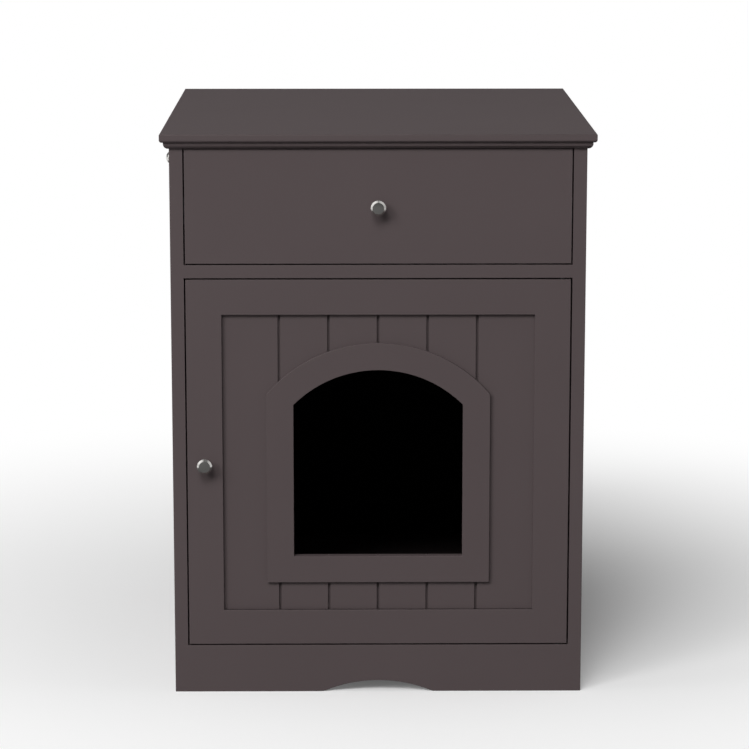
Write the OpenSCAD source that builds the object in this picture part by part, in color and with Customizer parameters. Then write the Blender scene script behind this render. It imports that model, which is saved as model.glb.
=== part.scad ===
// Litter box enclosure with a drawer: a flat-pack night stand in painted fibreboard. The
// drawer runs above a cabin for a litter pan, and the cabin's beadboard door has an arched
// entry that is always open.
// Inside the modules y is measured back from the side panels' front edges. in_place() then
// puts the origin on the floor, under the middle of the whole outline.

/* [Body] */
// Width over the side panels
body_w = 500; // [440:5:560]
// Depth of the side panels
body_d = 568; // [540:4:640]
// Height of the side panels
body_h = 673; // [640:1:735]
// Thickness of the boards
board_t = 16; // [14:0.5:18]
// Height of the opening behind the drawer front
drawer_opening_h = 140.5; // [120:0.5:180]
// Gap round the door, and beside and below the drawer front
gap = 1.8; // [1.7:0.1:3]
// Gap above the drawer front
drawer_top_gap = 0.75; // [0.5:0.25:3]

/* [Base] */
// Height of the base, up to the cabin's floor
base_h = 59; // [54:1:80]
// Rise of the arch in the apron
arch_rise = 14; // [8:1:20]
// Half width of the arch, where it leaves the floor
arch_half_w = 70; // [60:2:110]
// Radius that eases each end of the arch into the floor line
arch_blend_r = 14; // [10:1:50]

/* [Top] */
// Thickness of the top board
top_t = 18; // [18:1:22]
// Height of the lip round the top's upper edge
lip_h = 10; // [6:0.5:10.5]
// Rounding of the lip's lower edge
lip_round = 3.5; // [1:0.5:4.5]
// Rounding of the lip's upper edge
lip_arris = 1; // [0.5:0.25:1.5]
// Step in under the lip
quirk = 4.5; // [3.5:0.5:8]
// Radius of the quarter round under the step
ovolo_r = 6.5; // [4:0.5:7]

/* [Back] */
// Thickness of the back panel
back_t = 3; // [2.5:0.5:4]
// Lap of the back panel over each side panel, in its rebate
back_lap = 8; // [6:0.5:9]
// Play at the back panel's edges
back_play = 0.5; // [0.25:0.25:1]
// Distance from the back panel to the side panels' rear edges
back_inset = 3; // [2:0.5:5]
// Screws down each edge of the back panel
back_screw_rows = 5; // [3:1:8]
// Spacing of the screws across the shelf and the cabin's floor
back_screw_pitch = 140; // [100:5:160]

/* [Door] */
// Width of the stiles
stile_w = 43; // [40:1:55]
// Width of the rails
rail_w = 43; // [40:1:55]
// Depth of the panel's face behind the frame's face
panel_recess = 5; // [3:0.5:6]
// Thickness of the panel
panel_t = 6; // [4.5:0.5:7]
// Depth of the grooves that hold the panel
panel_groove = 8; // [5:1:10]
// Play between the panel's edges and the grooves' bottoms
panel_play = 1; // [0.5:0.5:2]
// Spacing of the beads, from groove to groove
bead_pitch = 60; // [40:5:70]
// Number of grooves between the beads
bead_count = 5; // [3:1:5]
// Width of the grooves between the beads
bead_w = 3.2; // [2:0.2:5]
// Depth of the grooves between the beads
bead_depth = 3.5; // [1:0.5:3.5]

/* [Entry] */
// Width of the entry
entry_w = 206; // [160:2:216]
// Rise of the entry's arch above its straight jambs
entry_rise = 43; // [25:1:60]
// Width of the surround's band
surround_w = 33; // [20:1:34]
// Panel left above and below the surround
surround_margin = 35; // [20:0.5:45]

/* [Hinge] */
// Distance from the door's edge to the pivot
pivot_in = 10; // [10:0.5:14]
// Distance from the door's face back to the pivot
pivot_back = 6; // [5:0.25:6]
// Radius of the pivot pins
pin_r = 2; // [1.5:0.25:2.5]
// Radial play of the pins in their bushes
pin_play = 0.05; // [0.03:0.01:0.1]
// Length of each pin inside the door
pin_grip = 18; // [12:1:25]
// Length of each pin inside the shelf or the apron
pin_reach = 8; // [6:0.5:9]
// Radius of the bushes
bush_r = 3.5; // [3.25:0.25:4]
// Radius of the bushes' flanges
bush_flange_r = 4.5; // [4.25:0.25:5.5]
// Depth of the bushes in the shelf and the apron
bush_depth = 10; // [9.5:0.5:11]
// Closed end of each bush
bush_end = 1; // [0.5:0.1:1]
// Play between the bushes' flanges and the door
flange_play = 0.1; // [0.05:0.05:0.3]

/* [Catch] */
// Distance from the opening's left edge to the middle of the catch
catch_in = 85; // [75:5:120]
// Width of the catch's housing between its ears
catch_w = 28; // [26:1:34]
// Depth of the housing, front to back
catch_d = 15; // [14:1:20]
// Height of the housing
catch_h = 13; // [12:0.5:16]
// Width of each ear
ear_w = 9; // [8:1:12]
// Thickness of the ears
ear_t = 3; // [2:0.5:4]
// Width of the magnet and its pole plates
magnet_w = 20; // [16:1:22]
// Height of the magnet
magnet_h = 5; // [4:0.5:6]
// Thickness of each pole plate
pole_t = 1; // [0.8:0.1:1.5]
// Length of the pole plates
pole_l = 12; // [10:0.5:12.5]
// How far the pole plates stand out of the housing
pole_out = 0.5; // [0.25:0.25:1]
// Width of the strike plate
strike_w = 44; // [40:1:50]
// Height of the strike plate
strike_h = 14; // [13:0.5:16]
// Thickness of the strike plate
strike_t = 1; // [0.8:0.1:1.5]
// Gap between the strike plate and the pole plates
strike_gap = 0.1; // [0.1:0.1:0.3]
// Distance from the strike plate to the door's top edge
strike_drop = 0.5; // [0.5:0.5:1]

/* [Drawer] */
// Thickness of the drawer's sides and back
drawer_side_t = 12; // [12:0.5:15]
// Clearance under the drawer's sides
drawer_lift = 13; // [8:1:20]
// Clearance above the drawer's sides
drawer_drop = 28; // [20:1:35]
// Length of the drawer's sides behind the ends of the slides
drawer_tail = 10; // [9:1:20]
// Thickness of the drawer's bottom
drawer_bottom_t = 3; // [3:0.5:4]
// Depth of the grooves that hold the drawer's bottom
drawer_groove = 5; // [4:0.5:6]
// Height of those grooves above the sides' lower edges
drawer_groove_lift = 8; // [6:0.5:9]
// Play between the drawer bottom's edges and the grooves' ends
drawer_bottom_play = 0.5; // [0.25:0.25:1]

/* [Slides] */
// Length of the slides
slide_len = 450; // [400:50:450]
// Travel of the drawer
drawer_travel = 330; // [250:10:330]
// Thickness of each slide, between side panel and drawer
slide_w = 12.5; // [12.5:0.1:13]
// Height of the slides
slide_h = 35; // [33:1:40]
// Thickness of the slides' sheet steel
slide_t = 1.1; // [1:0.05:1.2]
// Distance from the drawer front to the slides
slide_setback = 3; // [2:0.5:8]
// Middle radius of the slides' bends
slide_bend = 1.5; // [1.2:0.1:2]
// Radius of the balls
ball_r = 2; // [1.8:0.05:2]
// Running gap between the balls and their races
race_gap = 0.1; // [0.05:0.01:0.1]
// Distance from the side panel to the rows of balls
ball_in = 7.3; // [7:0.1:7.5]
// Balls in each row
balls_per_row = 5; // [3:1:8]
// Thickness of the cages
cage_t = 0.7; // [0.6:0.05:0.8]
// Distance from the side panel to the middle of a cage's web
cage_in = 3.2; // [3.1:0.05:3.3]
// Reach of a cage's arms
cage_reach = 7; // [6.7:0.1:7.4]
// Play round each ball in its cage
cage_play = 0.1; // [0.05:0.05:0.1]
// Free run of a cage past each end of its stroke
cage_run_out = 5; // [3:1:10]

/* [Fixings] */
// Distance from the body's front and back to the cam locks
cam_row_in = 45; // [38:1:60]
// Distance from the body's front and back to the dowels
dowel_row_in = 145; // [140:5:180]
// Distance from a board's end to the middle of its cam locks
cam_in = 24; // [23:0.5:26]
// Radius of the bores for the cam locks
cam_r = 7.5; // [7:0.25:8]
// Radius of the bores for the drawer's cam locks
drawer_cam_r = 6; // [5.5:0.25:6.5]
// Board left behind each cam lock
cam_skin = 2.5; // [2:0.5:3]
// Radius of a cam bolt's head
bolt_head_r = 3; // [2.5:0.1:3.2]
// Radius of the head of the drawer's cam bolts
drawer_bolt_head_r = 2.4; // [2:0.1:2.6]
// Radius of a cam bolt's thread
bolt_thread_r = 2.5; // [2:0.25:3]
// Length of a cam bolt's thread
bolt_thread_l = 11; // [9:0.5:12]
// Radius of a cam bolt's shank
bolt_r = 3; // [2.5:0.25:3]
// Radius of the channel for a cam bolt
bolt_channel_r = 3.5; // [3.25:0.25:4]
// Radius of the dowels
dowel_r = 4; // [3:0.25:4]
// Play round and beyond the dowels
dowel_play = 0.1; // [0.05:0.05:0.2]
// Length of a dowel in the board whose face it enters
dowel_face = 10; // [8:1:11]
// Length of a dowel in the board whose end it enters
dowel_end = 20; // [15:1:22]
// Half length of the door's dowels
door_dowel_half = 15; // [12:1:18]
// Height of the apron's cam locks
apron_cam_z = 20; // [18:1:22]
// Distance from the apron's top edge to its dowels
apron_dowel_drop = 19; // [17:1:19]
// Distance from a rail's outer edge to its first dowel
door_dowel_edge = 10; // [8:0.5:10]
// Spacing of the two dowels in a rail's end
door_dowel_pitch = 15; // [12:0.5:15]

/* [Knobs] */
// Radius of the knobs
knob_r = 9.3; // [8:0.1:14]
// Reach of the knobs in front of the face
knob_reach = 18; // [16:1:24]
// Radius of a knob's flat face, inside its bevel
knob_face_r = 6.9; // [5:0.1:7.2]
// Height of the bevel round that face
knob_bevel = 2.7; // [1:0.1:3]
// Thickness of a knob's head, with its bevel
knob_head_t = 8.5; // [7:0.5:9]
// Radius of a knob's waist
knob_waist_r = 4.2; // [3.6:0.2:5]
// Radius of the screws that hold the knobs
knob_screw_r = 2; // [1.5:0.25:2]
// Depth of the screw in a knob
knob_bore = 8; // [6:0.5:10]

/* [Scoop peg] */
// Distance from the body's front to the peg on the left side
peg_back = 100; // [70:5:125]
// Distance from the top board's underside to the peg
peg_drop = 22; // [18:1:40]
// Reach of the peg from the side panel
peg_reach = 9.6; // [8:0.1:10.5]
// Radius of the peg's round head
peg_r = 7.5; // [6:0.5:9]
// Height of the head's dome
peg_dome = 4.4; // [3:0.1:5]
// Radius of the peg's neck
peg_neck_r = 3.2; // [2.6:0.2:4]
// Radius of the peg's foot
peg_foot_r = 6; // [5:0.5:7]
// Thickness of the peg's foot
peg_foot_t = 0.8; // [0.6:0.1:1.5]
// Radius of the peg's screw
peg_screw_r = 2; // [1.5:0.25:2.5]
// Length of the peg's screw in the side panel
peg_screw_l = 12; // [8:0.5:12]

/* [Hidden] */
$fn = 64;

// Colours
paint = [0.32, 0.29, 0.28];
hardboard = [0.42, 0.33, 0.25];
birch = [0.80, 0.68, 0.50];
zinc = [0.70, 0.71, 0.72];
ball_steel = [0.80, 0.80, 0.80];
nickel = [0.50, 0.50, 0.49];
black_nylon = [0.15, 0.15, 0.15];
ferrite = [0.20, 0.20, 0.21];

// Reach of a cutter past the face that it opens
cut = 1;
// Segments of the wide arcs
wide_fn = 240;

// Body
inner_x = body_w / 2 - board_t;
side_mid_x = (body_w - board_t) / 2;
drawer_opening_z = body_h - drawer_opening_h;
shelf_z = drawer_opening_z - board_t;
back_y = body_d - back_inset - back_t;
overhang = quirk + ovolo_r;
front_y = -(body_d - knob_reach) / 2;

// Arch in the apron: one wide arc that meets two easing arcs
arch_r = (arch_half_w * arch_half_w + arch_rise * arch_rise) / (2 * arch_rise) - arch_blend_r;
arch_join_z = arch_blend_r * (1 - (arch_r + arch_blend_r - arch_rise) / (arch_r + arch_blend_r));

// Door
door_half = inner_x - gap;
door_z = [base_h + gap, shelf_z - gap];
field_half = door_half - stile_w;
field_z = [door_z[0] + rail_w, door_z[1] - rail_w];
panel_y = [panel_recess, panel_recess + panel_t];
panel_hold = panel_groove - panel_play;
door_mid_z = (door_z[0] + door_z[1]) / 2;
stile_mid_x = door_half - stile_w / 2;
pivot = [door_half - pivot_in, pivot_back];

// Entry
sill_z = field_z[0] + surround_margin + surround_w;
entry_top_z = field_z[1] - surround_margin - surround_w;
entry_r = (entry_w * entry_w / 4 + entry_rise * entry_rise) / (2 * entry_rise);
entry_centre_z = entry_top_z - entry_r;

// Catch
catch_x = catch_in - inner_x;
pole_y = board_t + strike_t + strike_gap;
catch_y = pole_y + pole_out;
magnet_z = shelf_z - catch_h / 2;
magnet_set_back = 1;
ear_screw_x = (catch_w + ear_w) / 2;
strike_screw_in = 4;
strike_screw_x = strike_w / 2 - strike_screw_in;

// Drawer
front_z = [drawer_opening_z + gap, body_h - drawer_top_gap];
drawer_half = inner_x - slide_w;
drawer_inner = drawer_half - drawer_side_t;
drawer_z = [drawer_opening_z + drawer_lift, body_h - drawer_drop];
slide_y = board_t + slide_setback;
drawer_end_y = slide_y + slide_len + drawer_tail;
drawer_floor_z = drawer_z[0] + drawer_groove_lift;
drawer_cam_edge = 20;
drawer_screw_edge = 12;
front_mid_z = (front_z[0] + front_z[1]) / 2;

// Slides, in a section with u from the side panel and v from the slide's middle
slide_z = (drawer_z[0] + drawer_z[1]) / 2;
race_r = ball_r + race_gap + slide_t / 2;
flange_v = slide_h / 2 - slide_t / 2;
ball_v = flange_v - race_r;
inner_v = ball_v - race_r;
// Angles at which the races' arcs start and end
outer_race = [90, 15];
inner_race = [270, 195];
cage_len = slide_len - drawer_travel - 2 * cage_run_out;
cage_y = slide_y + cage_run_out + drawer_travel / 2;
ball_end = 8;
ball_pitch = (cage_len - 2 * ball_end) / (balls_per_row - 1);
cage_window_end = 14;
slide_screw_end = 37;
slide_screw_count = 3;

// Screws: the radius and length of each kind
back_screw_r = 1.5;
back_screw_l = 14;
slide_screw_r = 2;
slide_screw_l = 9.5;
drawer_back_screw_r = 1.75;
drawer_back_screw_l = 38;
catch_screw_r = 1.5;
catch_screw_l = 13;
strike_screw_r = 1.25;
strike_screw_l = 11;
back_screw = [back_screw_r, back_screw_l];
slide_screw = [slide_screw_r, slide_screw_l];
drawer_back_screw = [drawer_back_screw_r, drawer_back_screw_l];
catch_screw = [catch_screw_r, catch_screw_l];
strike_screw = [strike_screw_r, strike_screw_l];
knob_screw = [knob_screw_r, board_t + knob_bore];
back_screw_end = 45;
pilot_play = 0.2;
point_r = 0.3;

// Cam lock and bolt
cam_play = 0.1;
cam_wall = 2.2;
neck_r = 1.6;
slot_play = 0.3;
drive_w = 1.2;
drive_depth = 1.5;
bolt_head_h = 2.6;

function unit(v) = v / norm(v);
// Points along an arc about c, from one angle to the other
function arc_points(c, r, from, to, steps = 6) =
    [for (i = [0:steps]) let (a = from + (to - from) * i / steps) c + r * [cos(a), sin(a)]];
// Unit vector square to a path at one of its points
function side_step(path, i) =
    let (d = unit(path[min(i + 1, len(path) - 1)] - path[max(i - 1, 0)])) [-d[1], d[0]];
// Outline of sheet of thickness t that follows a path
function strip(path, t) = concat(
    [for (i = [0:len(path) - 1]) path[i] + t / 2 * side_step(path, i)],
    [for (i = [len(path) - 1:-1:0]) path[i] - t / 2 * side_step(path, i)]);
// A half path and its mirror image below it, joined
function mirrored(path) =
    concat([for (i = [len(path) - 1:-1:0]) [path[i][0], -path[i][1]]], path);
function spread(from, to, n) = [for (i = [0:n - 1]) from + (to - from) * i / (n - 1)];

module in_place() translate([0, front_y, 0]) children();
module slab(x, y, z) translate([x[0], y[0], z[0]]) cube([x[1] - x[0], y[1] - y[0], z[1] - z[0]]);
// A profile drawn in x and z, run from one y to another
module along_y(from, to) translate([0, to, 0]) rotate([90, 0, 0]) linear_extrude(to - from) children();
// A profile drawn in y and z, run from one x to another
module along_x(from, to) translate([from, 0, 0]) rotate([90, 0, 90]) linear_extrude(to - from) children();
module left() mirror([1, 0, 0]) children();
module both() { children(); left() children(); }
module at(spots) for (s = spots) translate(s[0]) rotate(s[1]) children();

// ---------------------------------------------------------------- fixings
// A joint's own frame has its origin on the face where two boards meet, with +Z into the
// board that holds the cam lock and +X out of the lock's mouth. All lists are for the right
// side, and both() repeats them on the left.
down_into_side = [0, 180, 0];
into_shelf = [0, 90, 180];
into_apron = [-90, 0, 90];
into_drawer_side = [90, 0, 180];
cam_rows = [cam_row_in, body_d - cam_row_in];
dowel_rows = [dowel_row_in, body_d - dowel_row_in];

function row_spots(x, rows, z, turn) = [for (y = rows) [[x, y, z], turn]];
top_cams = row_spots(side_mid_x, cam_rows, body_h, down_into_side);
shelf_cams = row_spots(inner_x, cam_rows, shelf_z + board_t / 2, into_shelf);
floor_cams = row_spots(inner_x, cam_rows, base_h - board_t / 2, into_shelf);
apron_cams = [[[inner_x, board_t / 2, apron_cam_z], into_apron]];
top_dowels = row_spots(side_mid_x, dowel_rows, body_h, down_into_side);
shelf_dowels = row_spots(inner_x, dowel_rows, shelf_z + board_t / 2, into_shelf);
floor_dowels = row_spots(inner_x, dowel_rows, base_h - board_t / 2, into_shelf);
apron_dowels = [[[inner_x, board_t / 2, base_h - apron_dowel_drop], into_apron]];
drawer_cams = [for (z = [drawer_z[0] + drawer_cam_edge, drawer_z[1] - drawer_cam_edge])
    [[drawer_half - drawer_side_t / 2, board_t, z], into_drawer_side]];
top_rail_dowels = [for (d = [0, door_dowel_pitch])
    [[field_half, board_t / 2, door_z[1] - door_dowel_edge - d], into_shelf]];
bottom_rail_dowels = [for (d = [0, door_dowel_pitch])
    [[field_half, board_t / 2, door_z[0] + door_dowel_edge + d], into_shelf]];

// Cuts for one cam lock and its bolt, in both boards of the joint
module cam_cuts(t, r) {
    translate([0, 0, -bolt_thread_l]) cylinder(r = bolt_thread_r, h = bolt_thread_l);
    cylinder(r = bolt_channel_r, h = cam_in);
    translate([cam_skin - t / 2, 0, cam_in]) rotate([0, 90, 0]) cylinder(r = r, h = t - cam_skin + cut);
}
module cam_lock(t, r, head_r) translate([0, 0, cam_in]) difference() {
    head = head_r + slot_play;
    neck = neck_r + slot_play;
    translate([cam_skin + cam_play - t / 2, 0, 0]) rotate([0, 90, 0])
        cylinder(r = r - cam_play, h = t - cam_skin - 2 * cam_play);
    rotate([0, 90, 0]) cylinder(r = r - cam_wall, h = 2 * head, center = true);
    slab([-neck, neck], [-neck, neck], [-r, 0]);
    slab([-head, head], [-head, head], [0, r]);
    for (turn = [0, 90]) translate([t / 2, 0, 0]) rotate([turn, 0, 0])
        cube([2 * drive_depth, drive_w, r], center = true);
}
module cam_bolt(r, head_r) {
    hollow_r = r - cam_wall;
    head_z = cam_in - sqrt(hollow_r * hollow_r - head_r * head_r) + cam_play;
    translate([0, 0, -bolt_thread_l]) cylinder(r = bolt_thread_r, h = bolt_thread_l);
    cylinder(r = bolt_r, h = cam_in - r - cut);
    cylinder(r = neck_r, h = head_z);
    translate([0, 0, head_z]) cylinder(r = head_r, h = bolt_head_h);
}
module dowel_cuts(face, end) translate([0, 0, -face - dowel_play])
    cylinder(r = dowel_r + dowel_play, h = face + end + 2 * dowel_play);
module dowel(face, end) {
    nose = 1;
    translate([0, 0, nose - face]) cylinder(r = dowel_r, h = face + end - 2 * nose);
    translate([0, 0, -face]) cylinder(r1 = dowel_r - nose, r2 = dowel_r, h = nose);
    translate([0, 0, end - nose]) cylinder(r1 = dowel_r, r2 = dowel_r - nose, h = nose);
}

// A screw's own frame has its origin under the head, with +Z out of the head
head_in = [0, -90, 0];
head_out = [0, 90, 0];
head_back = [-90, 0, 0];
head_down = [180, 0, 0];
side_back_screws = [for (z = spread(base_h + back_screw_end, body_h - back_screw_end, back_screw_rows))
    [[inner_x + back_lap / 2, back_y + back_t, z], head_back]];
cross_back_screws = [for (z = [base_h, drawer_opening_z], i = [-1:1])
    [[i * back_screw_pitch, back_y + back_t, z - board_t / 2], head_back]];
slide_screw_rows =
    spread(slide_y + slide_screw_end, slide_y + slide_len - slide_screw_end, slide_screw_count);
rail_screws = row_spots(inner_x - slide_t, slide_screw_rows, slide_z, head_in);
runner_screws = row_spots(drawer_half + slide_t, slide_screw_rows, slide_z, head_out);
drawer_back_spots = [for (z = [drawer_floor_z + drawer_screw_edge, drawer_z[1] - drawer_screw_edge])
    [[drawer_half, drawer_end_y - drawer_side_t / 2, z], head_out]];
ear_spots = [for (s = [-1, 1])
    [[catch_x + s * ear_screw_x, catch_y + catch_d / 2, shelf_z - ear_t], head_down]];
strike_spots = [for (s = [-1, 1])
    [[catch_x + s * strike_screw_x, board_t + strike_t, door_z[1] - strike_drop - strike_h / 2], head_back]];
drawer_knob_spot = [[[0, board_t, front_mid_z], head_back]];
door_knob_spot = [[[-stile_mid_x, board_t, door_mid_z], head_back]];

module screw(size) {
    r = size[0];
    head_h = 0.7 * r;
    tip = 2 * r;
    difference() {
        cylinder(r1 = 2 * r, r2 = 1.5 * r, h = head_h);
        for (turn = [0, 90]) rotate(turn) translate([0, 0, head_h])
            cube([2 * r, 0.4 * r, 0.8 * r], center = true);
    }
    translate([0, 0, tip - size[1]]) cylinder(r = r, h = size[1] - tip);
    translate([0, 0, -size[1]]) cylinder(r1 = point_r, r2 = r, h = tip);
}
module screw_hole(size, play = 0) translate([0, 0, -size[1]]) cylinder(r = size[0] + play, h = size[1] + cut);

// ---------------------------------------------------------------- top
// Half width a at the body, with the lip, the step and the quarter round outside it
module moulded_edge(a) {
    z_lip = body_h + top_t - lip_h;
    translate([0, body_h]) square([a, top_t]);
    translate([0, body_h + ovolo_r]) square([a + ovolo_r, top_t - lip_h - ovolo_r]);
    translate([a, body_h + ovolo_r]) circle(ovolo_r);
    translate([0, z_lip + lip_round]) square([a + overhang, lip_h - lip_round - lip_arris]);
    for (edge = [[lip_round, lip_round], [lip_h - lip_arris, lip_arris]]) {
        translate([0, z_lip + edge[0] - edge[1]]) square([a + overhang - edge[1], 2 * edge[1]]);
        translate([a + overhang - edge[1], z_lip + edge[0]]) circle(edge[1]);
    }
}
module top_board() color(paint) in_place() difference() {
    intersection() {
        along_y(-overhang, body_d) { moulded_edge(body_w / 2); mirror([1, 0]) moulded_edge(body_w / 2); }
        along_x(-body_w / 2 - overhang, body_w / 2 + overhang)
            translate([body_d, 0]) mirror([1, 0]) moulded_edge(body_d);
    }
    both() {
        at(top_cams) cam_cuts(board_t, cam_r);
        at(top_dowels) dowel_cuts(dowel_face, dowel_end);
    }
}

// ---------------------------------------------------------------- body
module side_panel() difference() {
    slab([inner_x, body_w / 2], [0, body_d], [0, body_h]);
    slab([inner_x - cut, inner_x + back_lap + back_play], [back_y, body_d + cut], [-cut, body_h + cut]);
    at(concat(top_cams, shelf_cams, floor_cams, apron_cams)) cam_cuts(board_t, cam_r);
    at(concat(top_dowels, shelf_dowels, floor_dowels, apron_dowels)) dowel_cuts(dowel_face, dowel_end);
    at(side_back_screws) screw_hole(back_screw);
    at(rail_screws) screw_hole(slide_screw);
}
module right_side_panel() color(paint) in_place() side_panel();
module left_side_panel() color(paint) in_place() difference() {
    left() side_panel();
    peg_place() translate([0, 0, -peg_screw_l]) cylinder(r = peg_screw_r, h = peg_screw_l + cut);
}
module shelf_board() difference() {
    children();
    both() {
        at(concat(shelf_cams, floor_cams)) cam_cuts(board_t, cam_r);
        at(concat(shelf_dowels, floor_dowels)) dowel_cuts(dowel_face, dowel_end);
    }
    at(cross_back_screws) screw_hole(back_screw);
}
module divider_shelf() color(paint) in_place() difference() {
    shelf_board() slab([-inner_x, inner_x], [0, back_y], [shelf_z, drawer_opening_z]);
    at(ear_spots) screw_hole(catch_screw);
    upper_bush_place() bush_seat();
}
module bottom_panel() color(paint) in_place()
    shelf_board() slab([-inner_x, inner_x], [board_t, back_y], [base_h - board_t, base_h]);

// The arch's opening: the wide arc above the joins, and eased feet below them
module arch_opening() {
    intersection() {
        translate([0, arch_rise - arch_r]) circle(arch_r, $fn = wide_fn);
        translate([-arch_half_w, arch_join_z]) square([2 * arch_half_w, arch_rise]);
    }
    difference() {
        translate([-arch_half_w, -cut]) square([2 * arch_half_w, cut + arch_join_z]);
        for (s = [-1, 1]) translate([s * arch_half_w, arch_blend_r]) circle(arch_blend_r, $fn = wide_fn);
    }
}
module base_apron() color(paint) in_place() difference() {
    slab([-inner_x, inner_x], [0, board_t], [0, base_h]);
    along_y(-cut, board_t + cut) arch_opening();
    both() {
        at(apron_cams) cam_cuts(board_t, cam_r);
        at(apron_dowels) dowel_cuts(dowel_face, dowel_end);
    }
    lower_bush_place() bush_seat();
}
module back_panel() color(hardboard) in_place() difference() {
    slab([-inner_x - back_lap, inner_x + back_lap], [back_y, back_y + back_t],
        [base_h - board_t, body_h - back_play]);
    both() at(side_back_screws) screw_hole(back_screw, pilot_play);
    at(cross_back_screws) screw_hole(back_screw, pilot_play);
}
module back_panel_screws() color(zinc) in_place() {
    both() at(side_back_screws) screw(back_screw);
    at(cross_back_screws) screw(back_screw);
}
module cabinet_cam_locks() color(zinc) in_place()
    both() at(concat(top_cams, shelf_cams, floor_cams, apron_cams)) cam_lock(board_t, cam_r, bolt_head_r);
module cabinet_cam_bolts() color(zinc) in_place()
    both() at(concat(top_cams, shelf_cams, floor_cams, apron_cams)) cam_bolt(cam_r, bolt_head_r);
module cabinet_dowels() color(birch) in_place()
    both() at(concat(top_dowels, shelf_dowels, floor_dowels, apron_dowels)) dowel(dowel_face, dowel_end);

// ---------------------------------------------------------------- drawer slides
outer_path = mirrored(concat(
    arc_points([slide_t / 2 + slide_bend, flange_v - slide_bend], slide_bend, 180, 90),
    arc_points([ball_in, ball_v], race_r, outer_race[0], outer_race[1])));
inner_path = mirrored(concat(
    arc_points([slide_w - slide_t / 2 - slide_bend, inner_v - slide_bend], slide_bend, 0, 90),
    arc_points([ball_in, ball_v], race_r, inner_race[0], inner_race[1])));
ball_rows = [for (y = spread(cage_y + ball_end, cage_y + cage_len - ball_end, balls_per_row), s = [-1, 1])
    [inner_x - ball_in, y, slide_z + s * ball_v]];

// A slide's section, with u running from the right side panel towards the drawer
module slide_section() translate([inner_x, slide_z]) mirror([1, 0]) children();
module slide_rail() difference() {
    along_y(slide_y, slide_y + slide_len) slide_section() polygon(strip(outer_path, slide_t));
    at(rail_screws) screw_hole(slide_screw, pilot_play);
}
module drawer_runner() difference() {
    along_y(slide_y, slide_y + slide_len) slide_section() polygon(strip(inner_path, slide_t));
    at(runner_screws) screw_hole(slide_screw, pilot_play);
}
module ball_cage() difference() {
    along_y(cage_y, cage_y + cage_len) slide_section() {
        translate([cage_in - cage_t / 2, -ball_v - cage_t / 2]) square([cage_t, 2 * ball_v + cage_t]);
        for (s = [-1, 1]) translate([cage_in - cage_t / 2, s * ball_v - cage_t / 2])
            square([cage_reach, cage_t]);
    }
    for (p = ball_rows) translate(p) cylinder(r = ball_r + cage_play, h = 2 * cage_t, center = true);
    slab([inner_x - cage_in - cut, inner_x - cage_in + cut],
        [cage_y + cage_window_end, cage_y + cage_len - cage_window_end],
        [slide_z - ball_v / 2, slide_z + ball_v / 2]);
}
module slide_balls() for (p = ball_rows) translate(p) sphere(ball_r, $fn = 32);
module right_slide_rail() color(zinc) in_place() slide_rail();
module left_slide_rail() color(zinc) in_place() left() slide_rail();
module slide_rail_screws() color(zinc) in_place() both() at(rail_screws) screw(slide_screw);
module right_drawer_runner() color(zinc) in_place() drawer_runner();
module left_drawer_runner() color(zinc) in_place() left() drawer_runner();
module drawer_runner_screws() color(zinc) in_place() both() at(runner_screws) screw(slide_screw);
module right_ball_cage() color(zinc) in_place() ball_cage();
module left_ball_cage() color(zinc) in_place() left() ball_cage();
module right_slide_balls() color(ball_steel) in_place() slide_balls();
module left_slide_balls() color(ball_steel) in_place() left() slide_balls();

// ---------------------------------------------------------------- drawer
// Room for the drawer's bottom in the grooves of the front and the sides
module drawer_floor_room() slab([-drawer_inner - drawer_groove, drawer_inner + drawer_groove],
    [board_t - drawer_groove, drawer_end_y + cut], [drawer_floor_z, drawer_floor_z + drawer_bottom_t]);
module drawer_front() color(paint) in_place() difference() {
    slab([-door_half, door_half], [0, board_t], front_z);
    drawer_floor_room();
    both() at(drawer_cams) cam_cuts(drawer_side_t, drawer_cam_r);
    at(drawer_knob_spot) screw_hole(knob_screw, pilot_play);
}
module drawer_side() difference() {
    slab([drawer_inner, drawer_half], [board_t, drawer_end_y], drawer_z);
    drawer_floor_room();
    at(drawer_cams) cam_cuts(drawer_side_t, drawer_cam_r);
    at(runner_screws) screw_hole(slide_screw);
    at(drawer_back_spots) screw_hole(drawer_back_screw);
}
module drawer_right_side() color(paint) in_place() drawer_side();
module drawer_left_side() color(paint) in_place() left() drawer_side();
module drawer_back() color(paint) in_place() difference() {
    slab([-drawer_inner, drawer_inner], [drawer_end_y - drawer_side_t, drawer_end_y],
        [drawer_floor_z + drawer_bottom_t, drawer_z[1]]);
    both() at(drawer_back_spots) screw_hole(drawer_back_screw);
}
module drawer_bottom() color(hardboard) in_place() {
    half = drawer_inner + drawer_groove - drawer_bottom_play;
    slab([-half, half], [board_t - drawer_groove + drawer_bottom_play, drawer_end_y],
        [drawer_floor_z, drawer_floor_z + drawer_bottom_t]);
}
module drawer_cam_locks() color(zinc) in_place()
    both() at(drawer_cams) cam_lock(drawer_side_t, drawer_cam_r, drawer_bolt_head_r);
module drawer_cam_bolts() color(zinc) in_place()
    both() at(drawer_cams) cam_bolt(drawer_cam_r, drawer_bolt_head_r);
module drawer_back_screws() color(zinc) in_place() both() at(drawer_back_spots) screw(drawer_back_screw);

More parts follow.
